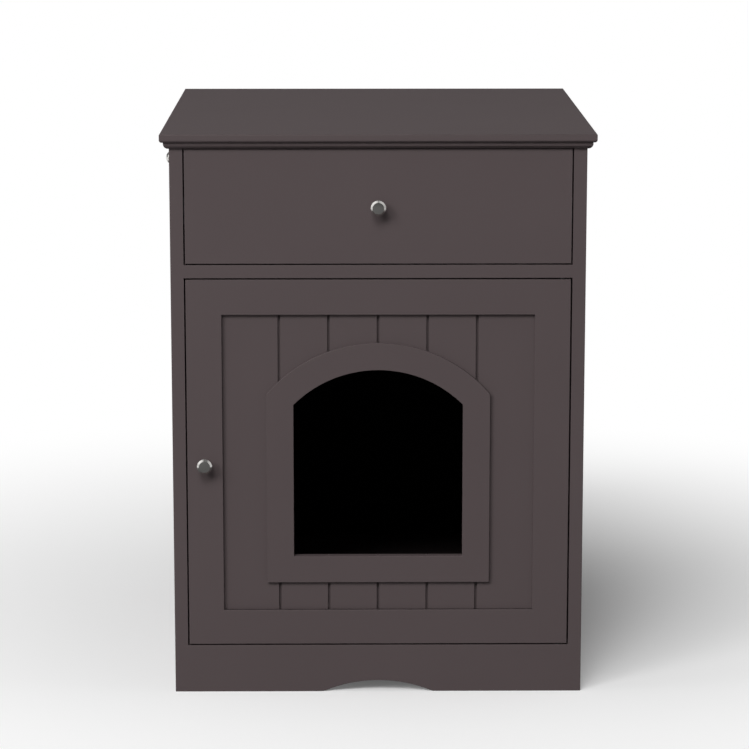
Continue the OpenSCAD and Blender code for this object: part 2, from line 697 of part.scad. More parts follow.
// ---------------------------------------------------------------- knobs
// Turned knob: waisted stem, then a head with a bevelled face, standing on z = 0
module knob() {
    foot_r = knob_waist_r + 1.3;
    foot_t = 1;
    cove_r = 4;
    cove_turn = 50;
    back_bevel = 1.5;
    head_z = knob_reach - knob_head_t;
    edge_z = knob_reach - knob_bevel;
    cove_centre = [knob_waist_r + cove_r, (foot_t + head_z) / 2];
    difference() {
        rotate_extrude() polygon(concat([[0, 0], [foot_r, 0], [foot_r, foot_t]],
            arc_points(cove_centre, cove_r, 180 + cove_turn, 180 - cove_turn),
            [[knob_r - back_bevel, head_z], [knob_r, head_z + back_bevel], [knob_r, edge_z],
             [knob_face_r, knob_reach], [0, knob_reach]]));
        translate([0, 0, -cut]) cylinder(r = knob_screw_r, h = cut + knob_bore);
    }
}
module knob_on(spot) translate([spot[0][0][0], 0, spot[0][0][2]]) rotate([90, 0, 0]) knob();
module drawer_knob() color(nickel) in_place() knob_on(drawer_knob_spot);
module door_knob() color(nickel) in_place() knob_on(door_knob_spot);
module drawer_knob_screw() color(zinc) in_place() at(drawer_knob_spot) screw(knob_screw);
module door_knob_screw() color(zinc) in_place() at(door_knob_spot) screw(knob_screw);

// ---------------------------------------------------------------- scoop peg
module peg_place() translate([-body_w / 2, peg_back, body_h - peg_drop]) rotate([0, -90, 0]) children();
module scoop_peg() color(nickel) in_place() peg_place() {
    dome_r = (peg_r * peg_r + peg_dome * peg_dome) / (2 * peg_dome);
    under = peg_reach - peg_dome;
    fillet = 0.6;
    rotate_extrude() polygon(concat(
        [[0, -peg_screw_l], [peg_screw_r, -peg_screw_l], [peg_screw_r, 0], [peg_foot_r, 0],
         [peg_foot_r, peg_foot_t], [peg_neck_r + fillet, peg_foot_t], [peg_neck_r, peg_foot_t + fillet],
         [peg_neck_r, under]],
        arc_points([0, peg_reach - dome_r], dome_r, asin((dome_r - peg_dome) / dome_r), 90, 12)));
}

// ---------------------------------------------------------------- door
// Room for the panel in the grooves of the stiles and rails
module panel_room() slab([-field_half - panel_groove, field_half + panel_groove], panel_y,
    [field_z[0] - panel_groove, field_z[1] + panel_groove]);
module stile() difference() {
    slab([field_half, door_half], [0, board_t], door_z);
    panel_room();
    at(concat(top_rail_dowels, bottom_rail_dowels)) dowel_cuts(door_dowel_half, door_dowel_half);
}
module door_right_stile() color(paint) in_place() difference() {
    stile();
    for (z = [door_z[0] - cut, door_z[1] - pin_grip])
        translate([pivot[0], pivot[1], z]) cylinder(r = pin_r, h = pin_grip + cut);
}
module door_left_stile() color(paint) in_place() difference() {
    left() stile();
    at(door_knob_spot) screw_hole(knob_screw, pilot_play);
}
module door_top_rail() color(paint) in_place() difference() {
    slab([-field_half, field_half], [0, board_t], [field_z[1], door_z[1]]);
    panel_room();
    both() at(top_rail_dowels) dowel_cuts(door_dowel_half, door_dowel_half);
    at(strike_spots) screw_hole(strike_screw);
}
module door_bottom_rail() color(paint) in_place() difference() {
    slab([-field_half, field_half], [0, board_t], [door_z[0], field_z[0]]);
    panel_room();
    both() at(bottom_rail_dowels) dowel_cuts(door_dowel_half, door_dowel_half);
}
module door_dowels() color(birch) in_place()
    both() at(concat(top_rail_dowels, bottom_rail_dowels)) dowel(door_dowel_half, door_dowel_half);

// Straight jambs under an arc; grow widens it all round, about the same centre
module arched_outline(grow) {
    half = entry_w / 2 + grow;
    r = entry_r + grow;
    spring_z = entry_centre_z + sqrt(r * r - half * half);
    translate([-half, sill_z - grow]) square([2 * half, spring_z - sill_z + grow]);
    intersection() {
        translate([0, entry_centre_z]) circle(r, $fn = wide_fn);
        translate([-half, spring_z]) square([2 * half, r]);
    }
}
module beadboard_panel() color(paint) in_place() difference() {
    slab([-field_half - panel_hold, field_half + panel_hold], panel_y,
        [field_z[0] - panel_hold, field_z[1] + panel_hold]);
    along_y(panel_y[0] - cut, panel_y[1] + cut) arched_outline(0);
    for (i = [0:bead_count - 1]) {
        x = (i - (bead_count - 1) / 2) * bead_pitch;
        slab([x - bead_w / 2, x + bead_w / 2], [panel_y[0] - cut, panel_y[0] + bead_depth],
            [field_z[0] - panel_groove, field_z[1] + panel_groove]);
    }
}
module entry_surround() color(paint) in_place() along_y(0, panel_recess) difference() {
    arched_outline(surround_w);
    arched_outline(0);
}

// ---------------------------------------------------------------- hinge
// A bush's own frame has its origin on the board's face, with +Z into the board
module upper_bush_place() translate([pivot[0], pivot[1], shelf_z]) children();
module lower_bush_place() translate([pivot[0], pivot[1], base_h]) rotate([180, 0, 0]) children();
module bush_seat() cylinder(r = bush_r, h = bush_depth);
module bush() difference() {
    union() {
        cylinder(r = bush_r, h = bush_depth);
        translate([0, 0, flange_play - gap]) cylinder(r = bush_flange_r, h = gap - flange_play);
    }
    translate([0, 0, -gap]) cylinder(r = pin_r + pin_play, h = gap + bush_depth - bush_end);
}
module hinge_pin() translate([0, 0, -gap - pin_grip]) cylinder(r = pin_r, h = pin_grip + gap + pin_reach);
module upper_hinge_bush() color(black_nylon) in_place() upper_bush_place() bush();
module lower_hinge_bush() color(black_nylon) in_place() lower_bush_place() bush();
module upper_hinge_pin() color(zinc) in_place() upper_bush_place() hinge_pin();
module lower_hinge_pin() color(zinc) in_place() lower_bush_place() hinge_pin();

// ---------------------------------------------------------------- magnetic catch
module catch_housing() color(black_nylon) in_place() difference() {
    half = catch_w / 2;
    union() {
        slab([catch_x - half, catch_x + half], [catch_y, catch_y + catch_d], [shelf_z - catch_h, shelf_z]);
        slab([catch_x - half - ear_w, catch_x + half + ear_w], [catch_y, catch_y + catch_d],
            [shelf_z - ear_t, shelf_z]);
    }
    slab([catch_x - magnet_w / 2, catch_x + magnet_w / 2], [catch_y - cut, pole_y + pole_l],
        [magnet_z - magnet_h / 2 - pole_t, magnet_z + magnet_h / 2 + pole_t]);
    at(ear_spots) screw_hole(catch_screw, pilot_play);
}
module catch_magnet() color(ferrite) in_place()
    slab([catch_x - magnet_w / 2, catch_x + magnet_w / 2], [pole_y + magnet_set_back, pole_y + pole_l],
        [magnet_z - magnet_h / 2, magnet_z + magnet_h / 2]);
module catch_pole_plates() color(zinc) in_place()
    for (z = [magnet_z - magnet_h / 2 - pole_t, magnet_z + magnet_h / 2])
        slab([catch_x - magnet_w / 2, catch_x + magnet_w / 2], [pole_y, pole_y + pole_l], [z, z + pole_t]);
module catch_screws() color(zinc) in_place() at(ear_spots) screw(catch_screw);
module strike_plate() color(zinc) in_place() difference() {
    slab([catch_x - strike_w / 2, catch_x + strike_w / 2], [board_t, board_t + strike_t],
        [door_z[1] - strike_drop - strike_h, door_z[1] - strike_drop]);
    at(strike_spots) screw_hole(strike_screw, pilot_play);
}
module strike_screws() color(zinc) in_place() at(strike_spots) screw(strike_screw);

top_board();
left_side_panel();
right_side_panel();
divider_shelf();
base_apron();
bottom_panel();
back_panel();
back_panel_screws();
cabinet_cam_locks();
cabinet_cam_bolts();
cabinet_dowels();
left_slide_rail();
right_slide_rail();
slide_rail_screws();
catch_housing();
catch_magnet();
catch_pole_plates();
catch_screws();
upper_hinge_bush();
lower_hinge_bush();
scoop_peg();
drawer_front();
drawer_left_side();
drawer_right_side();
drawer_back();
drawer_bottom();
drawer_cam_locks();
drawer_cam_bolts();
drawer_back_screws();
left_drawer_runner();
right_drawer_runner();
drawer_runner_screws();
drawer_knob();
drawer_knob_screw();
left_ball_cage();
left_slide_balls();
right_ball_cage();
right_slide_balls();
door_left_stile();
door_right_stile();
door_top_rail();
door_bottom_rail();
beadboard_panel();
entry_surround();
door_dowels();
upper_hinge_pin();
lower_hinge_pin();
door_knob();
door_knob_screw();
strike_plate();
strike_screws();
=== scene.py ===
import math

import bmesh
import bpy
from mathutils import Matrix, Vector


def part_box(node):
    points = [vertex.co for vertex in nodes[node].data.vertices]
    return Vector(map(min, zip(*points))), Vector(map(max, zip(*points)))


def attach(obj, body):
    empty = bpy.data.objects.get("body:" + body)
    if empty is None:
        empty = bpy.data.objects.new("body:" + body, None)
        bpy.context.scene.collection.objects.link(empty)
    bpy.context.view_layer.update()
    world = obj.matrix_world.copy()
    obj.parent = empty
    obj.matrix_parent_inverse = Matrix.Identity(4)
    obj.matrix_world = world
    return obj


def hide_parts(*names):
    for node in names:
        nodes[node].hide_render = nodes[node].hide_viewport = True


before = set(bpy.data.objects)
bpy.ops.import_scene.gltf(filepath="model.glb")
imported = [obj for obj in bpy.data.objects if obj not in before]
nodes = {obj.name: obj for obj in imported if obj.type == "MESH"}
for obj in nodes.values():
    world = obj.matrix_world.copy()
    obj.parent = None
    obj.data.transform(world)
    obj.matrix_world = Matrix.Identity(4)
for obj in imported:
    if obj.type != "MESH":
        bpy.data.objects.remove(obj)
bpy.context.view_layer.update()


# ---------------------------------------------------------------- camera
# The photograph's viewpoint, fitted to the edges of the front and the top: a long lens from
# 3.5 m in front, a little left of the middle and above the top, looking slightly down.
CAMERA_PLACE = (-0.0345, -3.7968, 1.0771)
CAMERA_DOWN = math.radians(10.906)
CAMERA_TO_RIGHT = math.radians(0.488)
LENS_MM = 142.38
SENSOR_MM = 36

camera_data = bpy.data.cameras.new("camera")
camera_data.sensor_width = SENSOR_MM
camera_data.lens = LENS_MM
camera = bpy.data.objects.new("camera", camera_data)
camera.location = CAMERA_PLACE
camera.rotation_euler = (math.pi / 2 - CAMERA_DOWN, 0, -CAMERA_TO_RIGHT)
bpy.context.collection.objects.link(camera)
bpy.context.scene.camera = camera


# ---------------------------------------------------------------- top board
# 18 mm fibreboard with a routed lip, step and quarter round on the front and both sides,
# sprayed with the same satin paint as the rest of the cabinet.
X, Y, Z = 0, 1, 2
MM = 0.001
PAINT = (82, 72, 73)
LIP_EASE = 0.4 * MM
BOARD_EASE = 0.6 * MM
ARRIS_ANGLE = math.radians(60)
SMOOTH_BELOW = math.radians(35)
FLAT_WITHIN = math.radians(0.2)
SAME_POINT = 1e-6
ON_PLANE = 2e-5
CUT_WITHIN = 1e-7


def from_screen(colour):
    """Linear colour and full alpha for 0 to 255 screen values."""
    return (*(((c / 255 + 0.055) / 1.055) ** 2.4 if c > 10 else c / 255 / 12.92 for c in colour), 1)


def shade(tree, kind, output, inputs, **settings):
    """One output of a new shader node, whose inputs are other nodes' outputs or plain values."""
    node = tree.nodes.new("ShaderNode" + kind)
    for key, value in settings.items():
        setattr(node, key, value)
    for label, value in inputs.items():
        if isinstance(value, bpy.types.NodeSocket):
            tree.links.new(value, node.inputs[label])
        else:
            node.inputs[label].default_value = value
    return node.outputs[output]


def maths(tree, operation, *terms):
    return shade(tree, "Math", 0, dict(enumerate(terms)), operation=operation)


def mapped(tree, value, before, after=(0, 1), way="LINEAR"):
    """A value carried from one range to another, and held at its ends."""
    return shade(tree, "MapRange", 0, {"Value": value, "From Min": before[0], "From Max": before[1],
                                       "To Min": after[0], "To Max": after[1]},
                 interpolation_type=way)


def noise(tree, place, scale, detail):
    return shade(tree, "TexNoise", "Fac", {"Vector": place, "Scale": scale, "Detail": detail})


def object_place(tree):
    return shade(tree, "TexCoord", "Object", {})


def tinted(tree, colour, factor):
    return shade(tree, "VectorMath", 0, {0: colour, "Scale": factor}, operation="SCALE")


def shade_group(name, inputs):
    """A shader group with named inputs and their defaults, which puts out colour, roughness and
    height. finish(colour, roughness, height) links what it puts out."""
    group = bpy.data.node_groups.new(name, "ShaderNodeTree")
    for label, kind, default in inputs:
        socket = group.interface.new_socket(label, in_out="INPUT", socket_type="NodeSocket" + kind)
        socket.default_value = default
    for label, kind in (("Colour", "Color"), ("Roughness", "Float"), ("Height", "Float")):
        group.interface.new_socket(label, in_out="OUTPUT", socket_type="NodeSocket" + kind)
    given, result = group.nodes.new("NodeGroupInput"), group.nodes.new("NodeGroupOutput")

    def finish(*outputs):
        for output, socket in zip(outputs, result.inputs):
            group.links.new(output, socket)
        return group

    return group, given.outputs, finish


def cloud_of(group, given, scale, detail):
    """A soft cloud about 1, as deep as the group's Cloud input says."""
    about_zero = maths(group, "SUBTRACT", noise(group, object_place(group), scale, detail), 0.5)
    return maths(group, "MULTIPLY_ADD", about_zero, given["Cloud"], 1)


def sprayed_group():
    """Paint or mould texture: a soft cloud in the colour and gloss, and a fine orange peel."""
    group, given, finish = shade_group(
        "sprayed_surface",
        [("Colour", "Color", (0.1, 0.1, 0.1, 1)), ("Cloud", "Float", 0.05),
         ("Roughness", "Float", 0.45), ("Peel size", "Float", 500.0)])
    cloud = cloud_of(group, given, scale=7, detail=4)
    return finish(tinted(group, given["Colour"], cloud),
                  maths(group, "MULTIPLY", given["Roughness"], cloud),
                  noise(group, object_place(group), given["Peel size"], detail=2))


sprayed = sprayed_group()


def finish_of(name, group, inputs, bump=0.1, bump_mm=0.02, **shader_values):
    """A material whose Principled shader takes its colour, roughness and bump from a group."""
    material = bpy.data.materials.new(name)
    material.use_nodes = True
    tree = material.node_tree
    shader = tree.nodes["Principled BSDF"]
    for label, value in shader_values.items():
        shader.inputs[label.replace("_", " ")].default_value = value
    source = tree.nodes.new("ShaderNodeGroup")
    source.node_tree = group
    for label, value in inputs.items():
        source.inputs[label].default_value = value
    relief = shade(tree, "Bump", "Normal", {"Strength": bump, "Distance": bump_mm * MM,
                                            "Height": source.outputs["Height"]})
    for output, label in ((source.outputs["Colour"], "Base Color"),
                          (source.outputs["Roughness"], "Roughness"), (relief, "Normal")):
        tree.links.new(output, shader.inputs[label])
    return material


paint = finish_of("satin_grey_brown_paint", sprayed,
                  {"Colour": from_screen(PAINT), "Cloud": 0.07, "Roughness": 0.6, "Peel size": 420},
                  bump=0.12, bump_mm=0.05, Specular_IOR_Level=0.27)


def finish_node(node, material):
    """Gives a CAD node its material, in all its slots."""
    piece = nodes[node]
    piece.data.materials.clear()
    piece.data.materials.append(material)


def in_place_of(piece, node, body):
    """Lets a piece stand for a CAD node, and move with that body."""
    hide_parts(node)
    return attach(piece, body)


def solid_copy(node):
    """The node's mesh as one merged solid in a bmesh, with its flat faces whole."""
    solid = bmesh.new()
    solid.from_mesh(nodes[node].data)
    bmesh.ops.remove_doubles(solid, verts=solid.verts, dist=SAME_POINT)
    bmesh.ops.dissolve_limit(solid, angle_limit=FLAT_WITHIN, verts=solid.verts, edges=solid.edges)
    return solid


def piece_from(solid, name, material):
    """An object from a bmesh, smooth except where its faces meet at a steep angle."""
    mesh = bpy.data.meshes.new(name)
    solid.to_mesh(mesh)
    solid.free()
    mesh.materials.clear()
    mesh.materials.append(material)
    mesh.shade_smooth()
    mesh.set_sharp_from_angle(angle=SMOOTH_BELOW)
    piece = bpy.data.objects.new(name, mesh)
    bpy.context.collection.objects.link(piece)
    flats = piece.modifiers.new("flat_faces_stay_flat", "WEIGHTED_NORMAL")
    flats.keep_sharp = True
    flats.weight = 100
    return piece


def eased_board(node, body, is_eased, ease=BOARD_EASE, splits=()):
    """A board with the arrises that is_eased picks rounded over, as sanded and painted ones are.
    splits are heights at which a long arris is divided first, so that part of it can stay sharp."""
    solid = solid_copy(node)
    for height in splits:
        bmesh.ops.bisect_plane(solid, geom=solid.verts[:] + solid.edges[:] + solid.faces[:],
                               plane_co=(0, 0, height), plane_no=(0, 0, 1),
                               dist=CUT_WITHIN)
    picked = [e for e in solid.edges
              if len(e.link_faces) == 2 and e.calc_face_angle_signed(0) > ARRIS_ANGLE
              and is_eased(e.verts[0].co, e.verts[1].co)]
    bmesh.ops.bevel(solid, geom=picked, offset=ease, segments=3, profile=0.5, affect="EDGES",
                    clamp_overlap=True)
    return in_place_of(piece_from(solid, node + "_painted", paint), node, body)


def both_at(axis, value):
    """Tests that both ends of an edge lie in the plane where that coordinate has that value."""
    return lambda a, b: abs(a[axis] - value) < ON_PLANE and abs(b[axis] - value) < ON_PLANE


eased_board("top_board", "cabinet", both_at(Y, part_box("top_board")[1].y), ease=LIP_EASE)


# ---------------------------------------------------------------- side panels
# 16 mm fibreboard from the floor to the top board. Their front edges are the thin stiles
# beside the door, so only the arrises on the outside are eased.
side_low, side_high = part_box("right_side_panel")
at_front = both_at(Y, side_low.y)
at_side_back = both_at(Y, side_high.y)
at_floor = both_at(Z, side_low.z)

for side, sign in (("left", -1), ("right", 1)):
    at_outside = both_at(X, sign * side_high.x)
    eased_board(side + "_side_panel", "cabinet",
                lambda a, b: at_outside(a, b) and (at_front(a, b) or at_side_back(a, b)
                                                   or at_floor(a, b)))


# ---------------------------------------------------------------- shelf, apron and floor
# Boards between the side panels. The shelf's front edge is the rail under the drawer, and the
# apron has a shallow arch. Both are flush with the side panels, with no seam in the paint.
SHELF_EASE = 0.4 * MM
APRON_EASE = 0.5 * MM

apron_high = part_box("base_apron")[1]
at_apron_top = both_at(Z, apron_high.z)


def across(a, b):
    """Both ends of an edge are at one height."""
    return abs(a.z - b.z) < SAME_POINT


def clear_of_ends(board_high, a, b):
    """An edge keeps away from the left and right ends of its board."""
    return max(abs(a.x), abs(b.x)) < board_high.x - MM


eased_board("divider_shelf", "cabinet", lambda a, b: at_front(a, b) and across(a, b),
            ease=SHELF_EASE)
eased_board("base_apron", "cabinet",
            lambda a, b: at_front(a, b) and (at_apron_top(a, b) or clear_of_ends(apron_high, a, b)),
            ease=APRON_EASE)
finish_node("bottom_panel", paint)


# ---------------------------------------------------------------- back panel
# 3 mm hardboard in the side panels' rebates. Its inner face is coloured near-black as painted shade,
# so the cabinet's inside seen through the entry is dark, and its outer face is raw, with the mesh of
# the press screen in it.
HARDBOARD = (112, 82, 58)
# Near-black painted shade for the inner face, standing in for the shade inside the cabinet.
INSIDE_SHADE_BLACK = (13, 12, 12)
SCREEN_PITCH = 1.6 * MM
FIBRE_STRETCH = (1, 1, 0.45)


def hardboard_group():
    """Brown fibre with dark flecks and a screen pattern. In front of a given depth it has a near-black
    face that is painted shade.
    """
    group, given, finish = shade_group(
        "hardboard_surface",
        [("Colour", "Color", (0.2, 0.1, 0.05, 1)), ("Painted face", "Color", (0, 0, 0, 1)),
         ("Raw from y", "Float", 0.0), ("Screen pitch", "Float", 0.002)])
    place = object_place(group)
    stretched = shade(group, "Mapping", 0, {"Vector": place, "Scale": FIBRE_STRETCH})
    fibre = noise(group, stretched, scale=260, detail=6)
    flecks = mapped(group, fibre, before=(0.3, 0.7), after=(0.72, 1.22))
    brown = tinted(group, given["Colour"], flecks)
    depth = shade(group, "SeparateXYZ", "Y", {0: place})
    is_raw = maths(group, "GREATER_THAN", depth, given["Raw from y"])
    # In front of the given depth, the face takes the near-black painted shade instead of the brown
    # fibre.
    face = shade(group, "Mix", 2, {"Factor": is_raw, 6: given["Painted face"], 7: brown},
                 data_type="RGBA")
    waves = []
    for axis in "XZ":
        turns = maths(group, "DIVIDE", shade(group, "SeparateXYZ", axis, {0: place}),
                      given["Screen pitch"])
        waves.append(maths(group, "SINE", maths(group, "MULTIPLY", turns, math.tau)))
    pressed = maths(group, "MULTIPLY", maths(group, "MULTIPLY", *waves), is_raw)
    return finish(face, mapped(group, fibre, before=(0, 1), after=(0.7, 0.92)), pressed)


hardboard_surface = hardboard_group()


def hardboard(name, raw_from):
    return finish_of(name, hardboard_surface,
                     {"Colour": from_screen(HARDBOARD), "Painted face": from_screen(INSIDE_SHADE_BLACK),
                      "Raw from y": raw_from, "Screen pitch": SCREEN_PITCH},
                     bump=0.5, bump_mm=0.15, Specular_IOR_Level=0.15)


back_low, back_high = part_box("back_panel")
# The back panel's front half gets the near-black painted shade, and its back half stays raw hardboard.
finish_node("back_panel", hardboard("back_hardboard", (back_low.y + back_high.y) / 2))


# ---------------------------------------------------------------- screws
# Pan-head screws with cross recesses, zinc plated. One turned head and shank is laid at every
# screw of a node, each with its recess left at its own angle.
ZINC = (176, 178, 180)

# In radii of the thread.
HEAD_RADIUS = 2
HEAD_HEIGHT = 0.7
THREAD_PITCH = 0.55
THREAD_DEPTH = 0.1
THREAD_FROM_TIP = 2
THREAD_TO_HEAD = 0.6
SHANK_LENGTH = 0.3
TIP_RADIUS = 0.3
TIP_LENGTH = 0.6
RECESS_REACH = 1.05

# Shares of the head's height, and then of the recess's reach.
HEAD_EDGE = 0.2
RECESS_FLOOR = 0.35
RECESS_TAPER = 0.75
SLOT_HALF_WIDTH = 0.2

HEAD_DOME_STEPS = 5
HEAD_DOME_STEP = math.pi / 12
TINY = 1e-9


def metal_group():
    """Plated steel: faint cloud in the colour, and fine drawn lines along one direction."""
    group, given, finish = shade_group(
        "plated_surface",
        [("Colour", "Color", (0.6, 0.6, 0.6, 1)), ("Roughness", "Float", 0.3),
         ("Cloud", "Float", 0.2), ("Line stretch", "Vector", (1.0, 1.0, 1.0))])
    stretched = shade(group, "VectorMath", 0, {0: object_place(group), 1: given["Line stretch"]},
                      operation="MULTIPLY")
    lines = noise(group, stretched, scale=900, detail=2)
    worn = mapped(group, lines, before=(0, 1), after=(0.8, 1.3))
    cloud = cloud_of(group, given, scale=90, detail=3)
    return finish(tinted(group, given["Colour"], cloud),
                  maths(group, "MULTIPLY", given["Roughness"], worn), lines)


plated = metal_group()


def plated_metal(name, colour, roughness, stretch=(1, 1, 1), bump=0.08):
    return finish_of(name, plated, {"Colour": from_screen(colour), "Roughness": roughness,
                                    "Line stretch": stretch},
                     bump=bump, bump_mm=0.02, Metallic=1.0)


zinc = plated_metal("zinc_plate", ZINC, roughness=0.32)


def solids_of(node):
    """Lowest and highest corner of each separate solid in a node."""
    merged = bmesh.new()
    merged.from_mesh(nodes[node].data)
    bmesh.ops.remove_doubles(merged, verts=merged.verts, dist=SAME_POINT)
    left, boxes = set(merged.verts), []
    while left:
        reached = [left.pop()]
        for vert in reached:
            for edge in vert.link_edges:
                other = edge.other_vert(vert)
                if other in left:
                    left.remove(other)
                    reached.append(other)
        places = [v.co for v in reached]
        boxes.append((Vector(map(min, *places)), Vector(map(max, *places))))
    merged.free()
    return sorted(boxes, key=lambda box: tuple(round(c, 5) for c in box[0]))


def round_outline(angle):
    return 1


def crossed_outline(angle):
    """Reach of a cross with arms one long, at an angle."""
    off_arm = abs((angle + math.pi / 4) % (math.pi / 2) - math.pi / 4)
    return min(1 / math.cos(off_arm), SLOT_HALF_WIDTH / max(math.sin(off_arm), TINY))


def turned(profile, name, material, sides=40):
    """A solid turned about Z from (radius, height) points, which start and end on the axis. A third
    value is the outline of that ring, where it isn't round."""
    solid = bmesh.new()
    angles = [math.tau * i / sides for i in range(sides)]
    rings = []
    for radius, height, *outlines in profile:
        outline = outlines[0] if outlines else round_outline
        if radius < TINY:
            rings.append([solid.verts.new((0, 0, height))])
        else:
            rings.append([solid.verts.new((radius * outline(a) * math.cos(a),
                                           radius * outline(a) * math.sin(a), height))
                          for a in angles])
    for low, high in zip(rings, rings[1:]):
        for i in range(sides):
            corners = [low[i % len(low)], low[(i + 1) % len(low)],
                       high[(i + 1) % len(high)], high[i % len(high)]]
            solid.faces.new(list(dict.fromkeys(corners)))
    bmesh.ops.recalc_face_normals(solid, faces=solid.faces)
    return piece_from(solid, name, material)


def set_on_points_tree():
    """Lays one object on every point, along the point's own way, and turns it at random."""
    tree = bpy.data.node_groups.new("set_on_points", "GeometryNodeTree")
    for label, kind in (("Geometry", "Geometry"), ("Fastener", "Object"), ("Finish", "Material"),
                        ("Turn", "Float"), ("Seed", "Int")):
        tree.interface.new_socket(label, in_out="INPUT", socket_type="NodeSocket" + kind)
    tree.interface.new_socket("Geometry", in_out="OUTPUT", socket_type="NodeSocketGeometry")
    link, new = tree.links.new, tree.nodes.new
    given, result = new("NodeGroupInput"), new("NodeGroupOutput")
    points = new("GeometryNodeMeshToPoints")
    link(given.outputs["Geometry"], points.inputs["Mesh"])
    way = new("GeometryNodeInputNamedAttribute")
    way.data_type = "FLOAT_VECTOR"
    way.inputs["Name"].default_value = "way"
    stand = new("FunctionNodeAlignRotationToVector")
    stand.axis = "Z"
    link(way.outputs["Attribute"], stand.inputs["Vector"])
    shape = new("GeometryNodeObjectInfo")
    link(given.outputs["Fastener"], shape.inputs["Object"])
    laid = new("GeometryNodeInstanceOnPoints")
    link(points.outputs["Points"], laid.inputs["Points"])
    link(shape.outputs["Geometry"], laid.inputs["Instance"])
    link(stand.outputs["Rotation"], laid.inputs["Rotation"])
    angle = new("FunctionNodeRandomValue")
    angle.data_type = "FLOAT"
    highest, drawn = angle.inputs[3], angle.outputs[1]
    link(given.outputs["Turn"], highest)
    link(given.outputs["Seed"], angle.inputs["Seed"])
    spin = new("ShaderNodeCombineXYZ")
    link(drawn, spin.inputs["Z"])
    turn = new("GeometryNodeRotateInstances")
    link(laid.outputs["Instances"], turn.inputs["Instances"])
    link(spin.outputs[0], turn.inputs["Rotation"])
    whole = new("GeometryNodeRealizeInstances")
    link(turn.outputs["Instances"], whole.inputs["Geometry"])
    coated = new("GeometryNodeSetMaterial")
    link(whole.outputs["Geometry"], coated.inputs["Geometry"])
    link(given.outputs["Finish"], coated.inputs["Material"])
    link(coated.outputs["Geometry"], result.inputs["Geometry"])
    return tree


set_on_points = set_on_points_tree()


def socket_id(tree, label):
    return next(item.identifier for item in tree.interface.items_tree
                if item.name == label and item.in_out == "INPUT")


def laid_out(name, fastener, spots, ways, material, turn=math.tau, seed=1):
    """A plain mesh with the fastener at every spot, standing along that spot's way. The
    fastener itself is used up."""
    mesh = bpy.data.meshes.new(name)
    mesh.from_pydata([tuple(s) for s in spots], [], [])
    direction = mesh.attributes.new("way", "FLOAT_VECTOR", "POINT")
    direction.data.foreach_set("vector", [c for way in ways for c in way])
    carrier = bpy.data.objects.new(name + "_points", mesh)
    bpy.context.collection.objects.link(carrier)
    maker = carrier.modifiers.new("set_on_points", "NODES")
    maker.node_group = set_on_points
    for label, value in (("Fastener", fastener), ("Finish", material), ("Turn", turn),
                         ("Seed", seed)):
        maker[socket_id(set_on_points, label)] = value
    graph = bpy.context.evaluated_depsgraph_get()
    graph.update()
    made = bpy.data.meshes.new_from_object(carrier.evaluated_get(graph))
    carrier.modifiers.remove(maker)
    bpy.data.objects.remove(carrier)
    bpy.data.objects.remove(fastener)
    made.name = name
    piece = bpy.data.objects.new(name, made)
    bpy.context.collection.objects.link(piece)
    return piece


def pan_screw(radius, length):
    """A screw with its origin under the head: point, thread, shank, domed head, cross recess."""
    head_r, head_h = HEAD_RADIUS * radius, HEAD_HEIGHT * radius
    pitch, root = THREAD_PITCH * radius, radius - THREAD_DEPTH * radius
    profile = [(0, -length), (TIP_RADIUS * radius, -length + TIP_LENGTH * radius)]
    for i in range(int((length - (THREAD_FROM_TIP + THREAD_TO_HEAD) * radius) / pitch)):
        height = -length + THREAD_FROM_TIP * radius + i * pitch
        profile += [(root, height), (radius, height + pitch / 2)]
    profile += [(root, -SHANK_LENGTH * radius), (radius, 0), (head_r, 0), (head_r, HEAD_EDGE * head_h)]
    for i in range(1, HEAD_DOME_STEPS + 1):
        angle = i * HEAD_DOME_STEP
        profile.append((head_r * (0.5 + 0.5 * math.cos(angle)),
                        head_h * (HEAD_EDGE + (1 - HEAD_EDGE) * math.sin(angle))))
    profile += [(RECESS_REACH * radius, head_h, crossed_outline),
                (RECESS_TAPER * RECESS_REACH * radius, head_h * RECESS_FLOOR, crossed_outline),
                (0, head_h * RECESS_FLOOR)]
    return turned(profile, "screw_shape", zinc, sides=32)


def screws(node, body, way, mirrored=False, seed=1):
    """Turned screws in place of a node's plain ones, with their heads along way, which is given
    for the right side where the left side mirrors it."""
    axis = max(range(3), key=lambda i: abs(way[i]))
    boxes = solids_of(node)
    spans = boxes[0][1] - boxes[0][0]
    radius = min(spans[i] for i in range(3) if i != axis) / (2 * HEAD_RADIUS)
    spots, ways = [], []
    for low, high in boxes:
        spot, outward = (low + high) / 2, Vector(way)
        if mirrored:
            outward[axis] = math.copysign(1, spot[axis] * way[axis])
        end = high if outward[axis] > 0 else low
        spot[axis] = end[axis] - outward[axis] * HEAD_HEIGHT * radius
        spots.append(spot)
        ways.append(outward)
    shape = pan_screw(radius, spans[axis] - HEAD_HEIGHT * radius)
    piece = laid_out(node + "_turned", shape, spots, ways, zinc, seed=seed)
    return in_place_of(piece, node, body)


screws("back_panel_screws", "cabinet", (0, 1, 0), seed=3)


# ---------------------------------------------------------------- cam locks, bolts and dowels
# The flat-pack joints: zinc die-cast cams turned in their bores, zinc-plated bolts, and
# fluted birch dowels. They lie inside the boards, and only the cams' mouths show.
CAST_ZINC = (150, 151, 153)
CAM_EDGE = 0.4 * MM
CAM_RIM = 1.3 * MM
CAM_DISH = 0.5 * MM
CAM_SLOT_DEPTH = 3.5 * MM
CAM_SLOT_REACH = 0.6
CAM_SLOT_TAPER = 0.8
CAM_TURN = 0.5
BIRCH = (205, 178, 138)
GRAIN_STRETCH = (0.1, 1, 1)
DOWEL_FLUTES = 14
DOWEL_FLUTE = 0.1
DOWEL_CHAMFER = 1 * MM

cast_zinc = plated_metal("cast_zinc", CAST_ZINC, roughness=0.45, bump=0.2)


